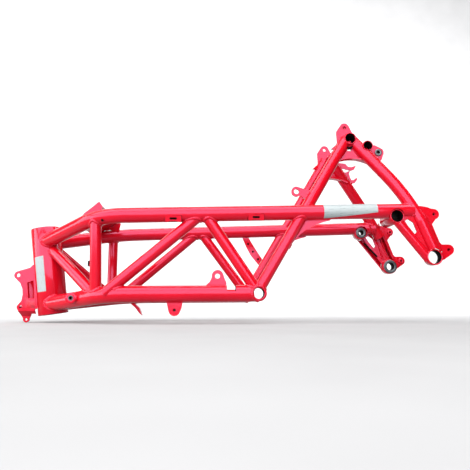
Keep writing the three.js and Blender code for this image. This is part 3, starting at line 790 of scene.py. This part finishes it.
def wrapped_label(name, node, tube, corners, up_axis, out_axis, lift=0.35):
    """A thin label bent round a tube. Corners are (mm along the tube, degrees from out_axis towards up_axis),
    in order round the label."""
    origin = tube.line[0] if len(tube.line) == 2 else tube.line[-2]
    direction = unit(tube.line[-1] - origin)
    out = unit(out_axis - (out_axis @ direction) * direction)
    up = unit(up_axis - (up_axis @ direction) * direction - (up_axis @ out) * out)
    skins = []
    for height in (lift, 0.05):
        rows = []
        for v in np.linspace(0, 1, 41):
            row = []
            for u in np.linspace(0, 1, 41):
                low = np.array(corners[0]) * (1 - u) + np.array(corners[1]) * u
                high = np.array(corners[3]) * (1 - u) + np.array(corners[2]) * u
                along, angle = low * (1 - v) + high * v
                radial = math.cos(math.radians(angle)) * out + math.sin(math.radians(angle)) * up
                row.append(origin + direction * along * MM + radial * (tube.radius + height * MM))
            rows.append(row)
        skins.append(rows)
    shell = Shell()
    top = [p for row in skins[0] for p in row]
    low = [p for row in skins[1] for p in row]
    count = 41
    quads = [(j * count + i, j * count + i + 1, (j + 1) * count + i + 1, (j + 1) * count + i)
             for j in range(count - 1) for i in range(count - 1)]
    shell.add(top + low, quads + [tuple(k + count * count for k in q[::-1]) for q in quads])
    rim = ([i for i in range(count)] + [j * count + count - 1 for j in range(1, count)]
           + [(count - 1) * count + i for i in range(count - 2, -1, -1)]
           + [j * count for j in range(count - 2, 0, -1)])
    for a, b in zip(rim, rim[1:] + rim[:1]):
        shell.faces.append((a, b, b + count * count, a + count * count))
        shell.marks.append(0)
    piece = shell.build(name, "label_stock", node, 50)
    layer = piece.data.uv_layers.new(name="label")
    for loop in piece.data.loops:
        k = loop.vertex_index % (count * count)
        layer.data[loop.index].uv = ((k // count) / (count - 1), (k % count) / (count - 1))
    return piece


def add_stickers(t):
    wrapped_label("label_head", "head_sticker", t["head"],
                  [(45.2, -43.5), (45.2, -2.8), (114.5, -2.2), (113.5, -43)],
                  np.array([1.0, 0, 0]), np.array([0, -1.0, 0]))
    wrapped_label("label_rail", "rail_sticker", t["upper"],
                  [(364, -62), (364, 80), (467, 86), (466, -16)],
                  np.array([0, 0, 1.0]), np.array([0, -1.0, 0]))


# ---------- nut pads ----------

def extruded(shell, outline, frame_axes, origin, low, high, mark=0):
    """A closed prism: outline points along the first two axes, from low to high along the third. All in mm."""
    a, b, c = frame_axes
    count = len(outline)
    rings = [[origin + (u * a + v * b + h * c) * MM for u, v in outline] for h in (low, high)]
    first = shell.add(rings[0] + rings[1], [], mark)
    flat = bmesh.new()
    corners = [flat.verts.new((u, v, 0)) for u, v in outline]
    edges = [flat.edges.new((corners[i], corners[(i + 1) % count])) for i in range(count)]
    flat.verts.index_update()
    filled = bmesh.ops.triangle_fill(flat, edges=edges, use_beauty=True)
    triangles = [tuple(v.index for v in f.verts) for f in filled["geom"] if isinstance(f, bmesh.types.BMFace)]
    flat.free()
    for triangle in triangles:
        shell.faces.append(tuple(first + i for i in triangle))
        shell.faces.append(tuple(first + count + i for i in triangle[::-1]))
    for i in range(count):
        k = (i + 1) % count
        shell.faces.append((first + i, first + k, first + count + k, first + count + i))
    shell.marks.extend([mark] * (2 * len(triangles) + count))


def rounded(outline, radius, steps=4):
    """Rounds the corners of a polygon."""
    result = []
    count = len(outline)
    for i, corner in enumerate(outline):
        corner = np.array(corner, float)
        a = np.array(outline[i - 1], float) - corner
        b = np.array(outline[(i + 1) % count], float) - corner
        reach = min(radius, 0.45 * np.linalg.norm(a), 0.45 * np.linalg.norm(b))
        start, end = corner + unit(a) * reach, corner + unit(b) * reach
        for k in range(steps + 1):
            t = k / steps
            result.append(tuple((1 - t) ** 2 * start + 2 * t * (1 - t) * corner + t ** 2 * end))
    return result


def bevelled(piece, width=0.6):
    bevel = piece.modifiers.new("bevel", "BEVEL")
    bevel.width = width * MM
    bevel.segments = 2
    bevel.limit_method = "ANGLE"
    bevel.angle_limit = math.radians(40)
    bevel.harden_normals = True
    return piece


def add_nut_pads():
    tilt = math.radians(14)
    outward = np.array([0, -math.cos(tilt), -math.sin(tilt)])
    upward = np.array([0, -math.sin(tilt), math.cos(tilt)])
    bow = rounded([(-14.5, -6), (-9, -5.8), (-5, -4.4), (5, -4.4), (9, -5.8), (14.5, -6),
                   (14.5, 6), (9, 5.8), (5, 4.4), (-5, 4.4), (-9, 5.8), (-14.5, 6)], 1.5)
    slot = rounded([(-6.5, -2), (6.5, -2), (6.5, 2), (-6.5, 2)], 1.9)
    _, front, rear = UPPER_RAIL
    for name, x in (("front", -58), ("rear", 91.5)):
        t = (x - front[0]) / (rear[0] - front[0])
        middle = at(x, front[1] + t * (rear[1] - front[1]), front[2] + t * (rear[2] - front[2]), LEFT)
        centre = middle - 6 * MM * upward
        axes = (np.array([1.0, 0, 0]), upward, outward)
        shell = Shell()
        extruded(shell, bow, axes, centre, 8, 16.2)
        pad = shell.build(f"pad_{name}", "red_paint", f"nut_pad_{name}", 35)
        cutter = Shell()
        extruded(cutter, slot, axes, centre, 13, 20)
        cut_away(pad, cutter)
        bevelled(pad, 0.5)
        # Painted shade: a near-black floor in the slot and a near-black rim peeking out round the pad's base,
        # standing in for the seam's shadow.
        floor = Shell()
        extruded(floor, [(u * 0.98, v * 0.96) for u, v in slot], axes, centre, 12.6, 13.3, 1)
        extruded(floor, [(u * 1.04, v * 1.09) for u, v in bow], axes, centre, 8, 13.9, 1)
        floor.build(f"painted_pad_shade_{name}", "red_paint")


# ---------- small fittings ----------

def wire(name, points, radius, slot="red_paint", closed=False):
    """A round bent wire through points given as (x, w, z) on the right-hand side."""
    knots = np.array([at(*p) for p in points])
    fine = []
    count = len(knots)
    for i in range(count if closed else count - 1):
        p0 = knots[i - 1] if closed or i > 0 else knots[0]
        p1, p2 = knots[i], knots[(i + 1) % count]
        p3 = knots[(i + 2) % count] if closed or i + 2 < count else knots[-1]
        for t in np.linspace(0, 1, 12, endpoint=False):
            fine.append(0.5 * (2 * p1 + (p2 - p0) * t + (2 * p0 - 5 * p1 + 4 * p2 - p3) * t * t
                               + (3 * p1 - p0 - 3 * p2 + p3) * t ** 3))
    if not closed:
        fine.append(knots[-1])
    line = resampled(np.array(fine), 1.2 * MM, closed)
    if closed:
        tangent = unit(np.roll(line, -1, axis=0) - np.roll(line, 1, axis=0))
    else:
        tangent = unit(np.gradient(line, axis=0))
    side = np.array([0.0, 1.0, 0.0])
    a = unit(side - (tangent @ side)[:, None] * tangent)
    b = np.cross(tangent, a)
    angles = 2 * math.pi * np.arange(14) / 14
    rows = [[p + radius * MM * (math.cos(k) * u + math.sin(k) * v) for k in angles]
            for p, u, v in zip(line, a, b)]
    shell = Shell()
    if closed:
        shell.rows(rows)
    else:
        first = shell.rows(rows, round_columns=False)
        end = first + (len(rows) - 1) * 14
        shell.faces += [tuple(range(first, first + 14)), tuple(range(end, end + 14))]
        shell.marks += [0, 0]
    return shell.build(name, slot)


XZ_AXES = (np.array([1.0, 0, 0]), np.array([0, 0, 1.0]), np.array([0, 1.0, 0]))


def small_plate(name, outline, low, high, corner=1.5, bevel=0.4, mark=0):
    shell = Shell()
    extruded(shell, rounded(outline, corner), XZ_AXES, at(0, 0, 0), low, high, mark)
    return bevelled(shell.build(name, "red_paint"), bevel)


def threaded_nut(name, x, z, side, inner, outer, radius=5.4, bore=2.3):
    """A weld nut with a threaded hole painted dark as shade: its bore and a near-black disc part way down take
    bore_shade. inner and outer are distances from the middle plane.
    """
    place, out = at(x, 0, z), side_axis(side)
    turned_piece(f"nut_{name}", "red_paint", place, out, ring_profile(bore, radius, inner, outer),
                 bore, None, 0.35)
    # A near-black disc closes the hole part way down: painted shade for the depth of the hole.
    low, high = inner + 0.3 * (outer - inner), inner + 0.6 * (outer - inner)
    turned_piece(f"hole_shade_{name}", "red_paint", place, out, ring_profile(0.2, bore - 0.05, low, high),
                 bore, None, 0.05)


def add_left_fittings():
    threaded_nut("rear_ear_left", 429.2, 171.4, LEFT, 107.5, 112.2)
    threaded_nut("lower_rear_ear_left", 453.8, 104, LEFT, 107.5, 112.2)
    threaded_nut("underside_tab", -54, -7.2, LEFT, 114.5, 117.9)
    threaded_nut("bracket_ear", -358.2, -4.7, LEFT, 8, 13.6, 4.6, 2.6)
    turned_piece("top_ear_backing_left", "red_paint", at(277.7, 0, 355.7), side_axis(LEFT),
                 ring_profile(0.3, 5.6, 60.6, 62.4), None, None, 0.3)
    # Painted shade: a near-black disc standing for the dark of a small hole in the rail.
    turned_piece("rail_rivet_hole_shade", "red_paint", at(-183.2, 0, 150.6), side_axis(LEFT),
                 ring_profile(0.2, 1.7, 128, 133.4), 1.7, None, 0.1)
    # Painted shade: a thin near-black plate standing in for the dark of a gap at the arch gusset.
    small_plate("gusset_gap_shade", [(278.6, 314.6), (285, 313.4), (291.6, 315.8), (288, 308.2), (281, 307.5)],
                -76.4, -75, 1, 0.1, 1)


def bar_outline(x, z, length, width, angle):
    """The four corners of a bar about (x, z), its length at angle degrees to the rails."""
    turn = math.radians(angle)
    along = (math.cos(turn) * length / 2, math.sin(turn) * length / 2)
    across = (-math.sin(turn) * width / 2, math.cos(turn) * width / 2)
    return [(x + a * along[0] + b * across[0], z + a * along[1] + b * across[1])
            for a, b in ((-1, -1), (1, -1), (1, 1), (-1, 1))]


def add_right_fittings():
    small_plate("strut_tab", bar_outline(-204, 78, 14, 10, 90), 101, 103.5)
    small_plate("guide_sliver", bar_outline(-280, 131, 38, 8, 8), 60, 62.5, 2)
    small_plate("cable_guide", [(-278, 160), (-276, 135), (-262, 135), (-253, 143)], 68, 70.5, 2)
    small_plate("cable_guide_lip", bar_outline(-257, 149, 14, 7, 90), 68.2, 70.3, 1)
    small_plate("cable_clip", bar_outline(-255, 92, 12, 4, 90), 88, 92, 1, 0.3, 1)
    wire("clip_stem", [(-255, 90, 90), (-245, 84, 84), (-238, 76, 68), (-237, 74, 50)], 1.5)
    # Painted shade: thin near-black plates on the right leg web standing in for the dark of two slots.
    small_plate("front_leg_slot_shade", bar_outline(383, 129, 44, 4, -46), 111.2, 111.9, 1, 0.1, 1)
    small_plate("rear_leg_slot_shade", bar_outline(421, 123, 18, 4, -75), 111.2, 111.9, 1, 0.1, 1)
    wire("leg_ridge_front", [(376, 91.5, 184), (384, 96, 168), (396, 108, 152), (402, 111.4, 139),
                             (411, 111.6, 108)], 1.5)
    wire("leg_ridge_middle", [(387, 91.5, 192), (393, 94, 181), (404, 106, 163), (416, 111.4, 131),
                              (427, 111.6, 107)], 1.5)
    wire("leg_ridge_rear", [(398, 93, 188), (409, 105, 166), (423, 111.4, 139), (435, 112, 109)], 1.5)
    threaded_nut("rear_ear_right", 430.3, 170.5, RIGHT, 108.5, 112.2, 5.6, 2.1)
    threaded_nut("lower_rear_ear_right", 453.8, 103.6, RIGHT, 108.5, 112.2, 5.6, 2.1)
    for k, (x, z) in enumerate(((97.5, 141), (108.8, 123.2), (120.3, 105.9))):
        threaded_nut(f"strap_{k}", x, z, RIGHT, 115.1, 118, 4.6, 2.2)


# ---------- studio ----------

CAMERA_PLACE = Vector(at(0, -1000, 0))
CAMERA_YAW = math.radians(3.47)
CAMERA_PITCH = math.radians(8.245)
LENS = 37.53
SENSOR = 36.0


def add_camera():
    data = bpy.data.cameras.new("camera")
    data.sensor_width = SENSOR
    data.lens = LENS
    data.clip_start = 0.01
    camera = bpy.data.objects.new("camera", data)
    camera.location = CAMERA_PLACE
    camera.rotation_euler = (math.pi / 2 + CAMERA_PITCH, 0, -CAMERA_YAW)
    bpy.context.scene.collection.objects.link(camera)
    bpy.context.scene.camera = camera


def panel(name, place, target, size, radiance):
    data = bpy.data.lights.new(name, "AREA")
    data.shape = "RECTANGLE"
    data.size, data.size_y = size
    data.energy = radiance * math.pi * size[0] * size[1]
    light = bpy.data.objects.new(name, data)
    light.location = place
    light.rotation_euler = (Vector(target) - Vector(place)).to_track_quat("-Z", "Y").to_euler()
    light.visible_camera = False
    bpy.context.scene.collection.objects.link(light)


def add_studio():
    profile = [(-6.0, 0.0), (1.6, 0.0)]
    profile += [(1.6 + 1.2 * math.sin(a), 1.2 - 1.2 * math.cos(a)) for a in np.linspace(0.1, math.pi / 2, 14)]
    profile += [(2.8, 5.0)]
    width = 7
    points = [(x, y, z) for y, z in profile for x in (-width, width)]
    faces = [(2 * i, 2 * i + 1, 2 * i + 3, 2 * i + 2) for i in range(len(profile) - 1)]
    mesh = bpy.data.meshes.new("backdrop")
    mesh.from_pydata(points, [], faces)
    mesh.materials.append(backdrop_paper())
    mesh.shade_smooth()
    floor = bpy.data.objects.new("backdrop", mesh)
    bpy.context.scene.collection.objects.link(floor)
    world = bpy.data.worlds.new("studio")
    world.use_nodes = True
    background = world.node_tree.nodes["Background"]
    background.inputs["Color"].default_value = (1, 1, 1, 1)
    background.inputs["Strength"].default_value = 0.12
    bpy.context.scene.world = world
    panel("front_panel", (-1.5, -2.0, 1.2), (-1.5, 0, 1.2), (5.2, 2.3), 6.0)
    panel("side_panel", (-3.6, -0.7, 1.2), (0, -0.7, 1.2), (2.4, 2.3), 6.0)
    panel("top_panel", (-0.8, -0.9, 2.4), (-0.8, -0.9, 0), (4.6, 1.8), 6.0)
    panel("backdrop_panel", (0, 0.8, 2.0), (0, 2.7, 0.9), (6.0, 1.4), 14.5)
    bpy.context.scene.view_settings.view_transform = "Standard"


# ---------- assembly ----------

def finish_cad_nodes():
    for row in frame["record"]["subparts"]:
        mesh = frame["nodes"][row["node"]].data
        mesh.materials.clear()
        mesh.materials.append(FINISH[row["material_slot"]])


finish_cad_nodes()
tubes = {side: side_tubes(side) for side in (LEFT, RIGHT)}
for side in (LEFT, RIGHT):
    add_side_tubes(side, tubes[side])
    add_side_bosses(side)
    add_sheet_welds(side, tubes[side])
    for sheet in SHEETS:
        soften_sheet(f"{sheet}_{NAMES[side]}")
for sheet in SINGLE_SHEETS:
    soften_sheet(sheet)
add_steering_head()
add_tower_pieces()
add_bushes()
add_stickers(tubes[LEFT])
add_nut_pads()
add_left_fittings()
add_right_fittings()
add_camera()
add_studio()
